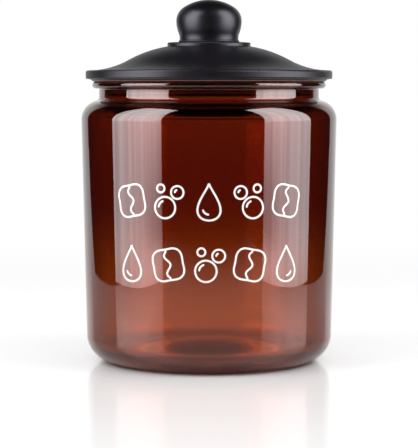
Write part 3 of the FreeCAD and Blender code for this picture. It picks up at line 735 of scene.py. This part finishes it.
def black_coat(name, colour, roughness, gloss, joint=None):
    """Nearly even in colour, with a soft grain and a slightly uneven sheen. Dust dulls it at a joint."""
    coat = new_finish(name)
    cloud = mottle(coat, scale=35.0, detail=3.0)
    grain = mottle(coat, scale=2600.0)
    dull = fade(coat, cloud, low=0.3, high=0.7,
                start=roughness - roughness_spread, end=roughness + roughness_spread)
    if joint is not None:
        height = reaches(coat, place_on(coat))["Z"]
        off_joint = worked(coat, "ABSOLUTE", worked(coat, "SUBTRACT", height, joint))
        dull = choose(coat, fade(coat, off_joint, *joint_dust), dusty_roughness, dull)
    darker, lighter = (tuple(c * (1.0 + gain) for c in colour) for gain in (-tone_spread, tone_spread))
    coat_surface = add(coat, "ShaderNodeBsdfPrincipled", {
        "Base Color": tones(coat, cloud, (0.3, darker), (0.7, lighter)),
        "Roughness": dull,
        "IOR": 1.5,
        "Specular IOR Level": gloss,
        "Specular Tint": (1.0, 0.96, 1.1),
        "Normal": embossed(coat, grain, strength=0.25, depth=0.06 * MM),
    })
    add(coat, "ShaderNodeOutputMaterial", {"Surface": coat_surface})
    return coat


knob_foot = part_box("knob_collar")[1].z
coated_steel = black_coat("black_coated_steel", steel_coat, roughness=0.42, gloss=0.25)
coated_casting = black_coat(
    "black_coated_casting", casting_coat, roughness=0.37, gloss=0.29, joint=knob_foot)
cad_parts["lid_cover"].material_slots[0].material = coated_steel
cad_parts["knob_collar"].material_slots[0].material = coated_casting
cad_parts["knob"].material_slots[0].material = coated_casting

# ---------------------------------------------------------------------------
# Plug ring: black polypropylene, injection moulded with a fine grain. It snaps behind the cover's folded
# edge and carries the seal into the mouth of the jar.
# ---------------------------------------------------------------------------
dark_flow = (0.024, 0.023, 0.024)
light_flow = (0.034, 0.032, 0.033)
rubbed_black = (0.055, 0.053, 0.054)
rubbed_gloss = 0.12
plastic = new_finish("black_plug_plastic")
flow = mottle(plastic, scale=28.0, detail=3.0)
grain = mottle(plastic, scale=1800.0)
# Edges of the moulding are rubbed a little paler and glossier.
edges = add(plastic, "ShaderNodeNewGeometry").outputs["Pointiness"]
rubbed = fade(plastic, edges, low=0.51, high=0.58)
plastic_surface = add(plastic, "ShaderNodeBsdfPrincipled", {
    "Base Color": laid_over(
        plastic, rubbed, tones(plastic, flow, (0.32, dark_flow), (0.68, light_flow)), rubbed_black),
    "Roughness": worked(
        plastic, "SUBTRACT",
        fade(plastic, flow, low=0.3, high=0.7, start=0.40, end=0.50),
        worked(plastic, "MULTIPLY", rubbed, rubbed_gloss)),
    "IOR": 1.49,
    "Specular IOR Level": 0.4,
    "Normal": embossed(plastic, grain, strength=0.3, depth=0.05 * MM),
})
add(plastic, "ShaderNodeOutputMaterial", {"Surface": plastic_surface})
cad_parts["seal_carrier"].material_slots[0].material = plastic

# ---------------------------------------------------------------------------
# Seal: one silicone moulding, stretched over the plug ring. Its flange lies between the lid and the lip,
# and its two fins stand in the mouth. Milky inside the mouth. On its rim, a pale band low down is painted
# light, and the dark above it is painted shade under the lid's flange.
# ---------------------------------------------------------------------------
milky = (0.36, 0.32, 0.29)
# The dark rim colour is painted shade under the lid's flange. The pale pinkish rim colour is a painted lit
# band along the rim's lower edge.
painted_flange_shade = (0.011, 0.008, 0.009)
painted_lit_edge = (0.19, 0.115, 0.108)
dust = (0.78, 0.76, 0.74)
painted_lit_heights = (lip_top - 0.9 * MM, lip_top + 0.05 * MM)
painted_shade_heights = (lip_top + 0.25 * MM, lip_top + 0.65 * MM)
silicone = new_finish("milky_seal_silicone")
height = reaches(silicone, place_on(silicone))["Z"]
specks = mottle(silicone, scale=420.0, detail=4.0, roughness=0.7)
# Painted light and shade by height: a pale band low on the flange's rim for light caught at its lower edge,
# and dark above it for the shade under the lid.
tone = laid_over(silicone, fade(silicone, height, *painted_lit_heights), milky, painted_lit_edge)
tone = laid_over(silicone, fade(silicone, height, *painted_shade_heights), tone, painted_flange_shade)
silicone_surface = add(silicone, "ShaderNodeBsdfPrincipled", {
    "Base Color": laid_over(silicone, fade(silicone, specks, low=0.45, high=0.62), tone, dust, "MULTIPLY"),
    "Roughness": fade(silicone, specks, low=0.35, high=0.65, start=0.36, end=0.52),
    "IOR": 1.41,
    "Specular IOR Level": 0.35,
    "Normal": embossed(silicone, specks, strength=0.2, depth=0.04 * MM),
})
add(silicone, "ShaderNodeOutputMaterial", {"Surface": silicone_surface})
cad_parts["seal_ring"].material_slots[0].material = silicone

# ---------------------------------------------------------------------------
# Screw and washer: zinc plated steel. The washer is stamped and the pan head turned, so both show fine
# rings about their axis under a slightly clouded plating, and bare bright edges.
# ---------------------------------------------------------------------------
dark_zinc = (0.50, 0.51, 0.53)
light_zinc = (0.68, 0.68, 0.66)
bare_edge = (0.80, 0.80, 0.80)
zinc = new_finish("zinc_plated_steel")
crystals = mottle(zinc, scale=260.0, detail=4.0)
edges = add(zinc, "ShaderNodeNewGeometry").outputs["Pointiness"]
turning_rings = add(zinc, "ShaderNodeTexWave", {
    "Vector": place_on(zinc), "Scale": 900.0, "Distortion": 1.0, "Detail": 2.0,
}, wave_type="RINGS", rings_direction="Z").outputs["Fac"]
zinc_surface = add(zinc, "ShaderNodeBsdfPrincipled", {
    "Base Color": laid_over(
        zinc, fade(zinc, edges, low=0.52, high=0.6),
        tones(zinc, crystals, (0.35, dark_zinc), (0.65, light_zinc)), bare_edge),
    "Metallic": 1.0,
    "Roughness": fade(zinc, crystals, low=0.3, high=0.7, start=0.22, end=0.42),
    "Normal": embossed(zinc, turning_rings, strength=0.25, depth=0.04 * MM),
})
add(zinc, "ShaderNodeOutputMaterial", {"Surface": zinc_surface})
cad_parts["knob_screw"].material_slots[0].material = zinc
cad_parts["knob_washer"].material_slots[0].material = zinc
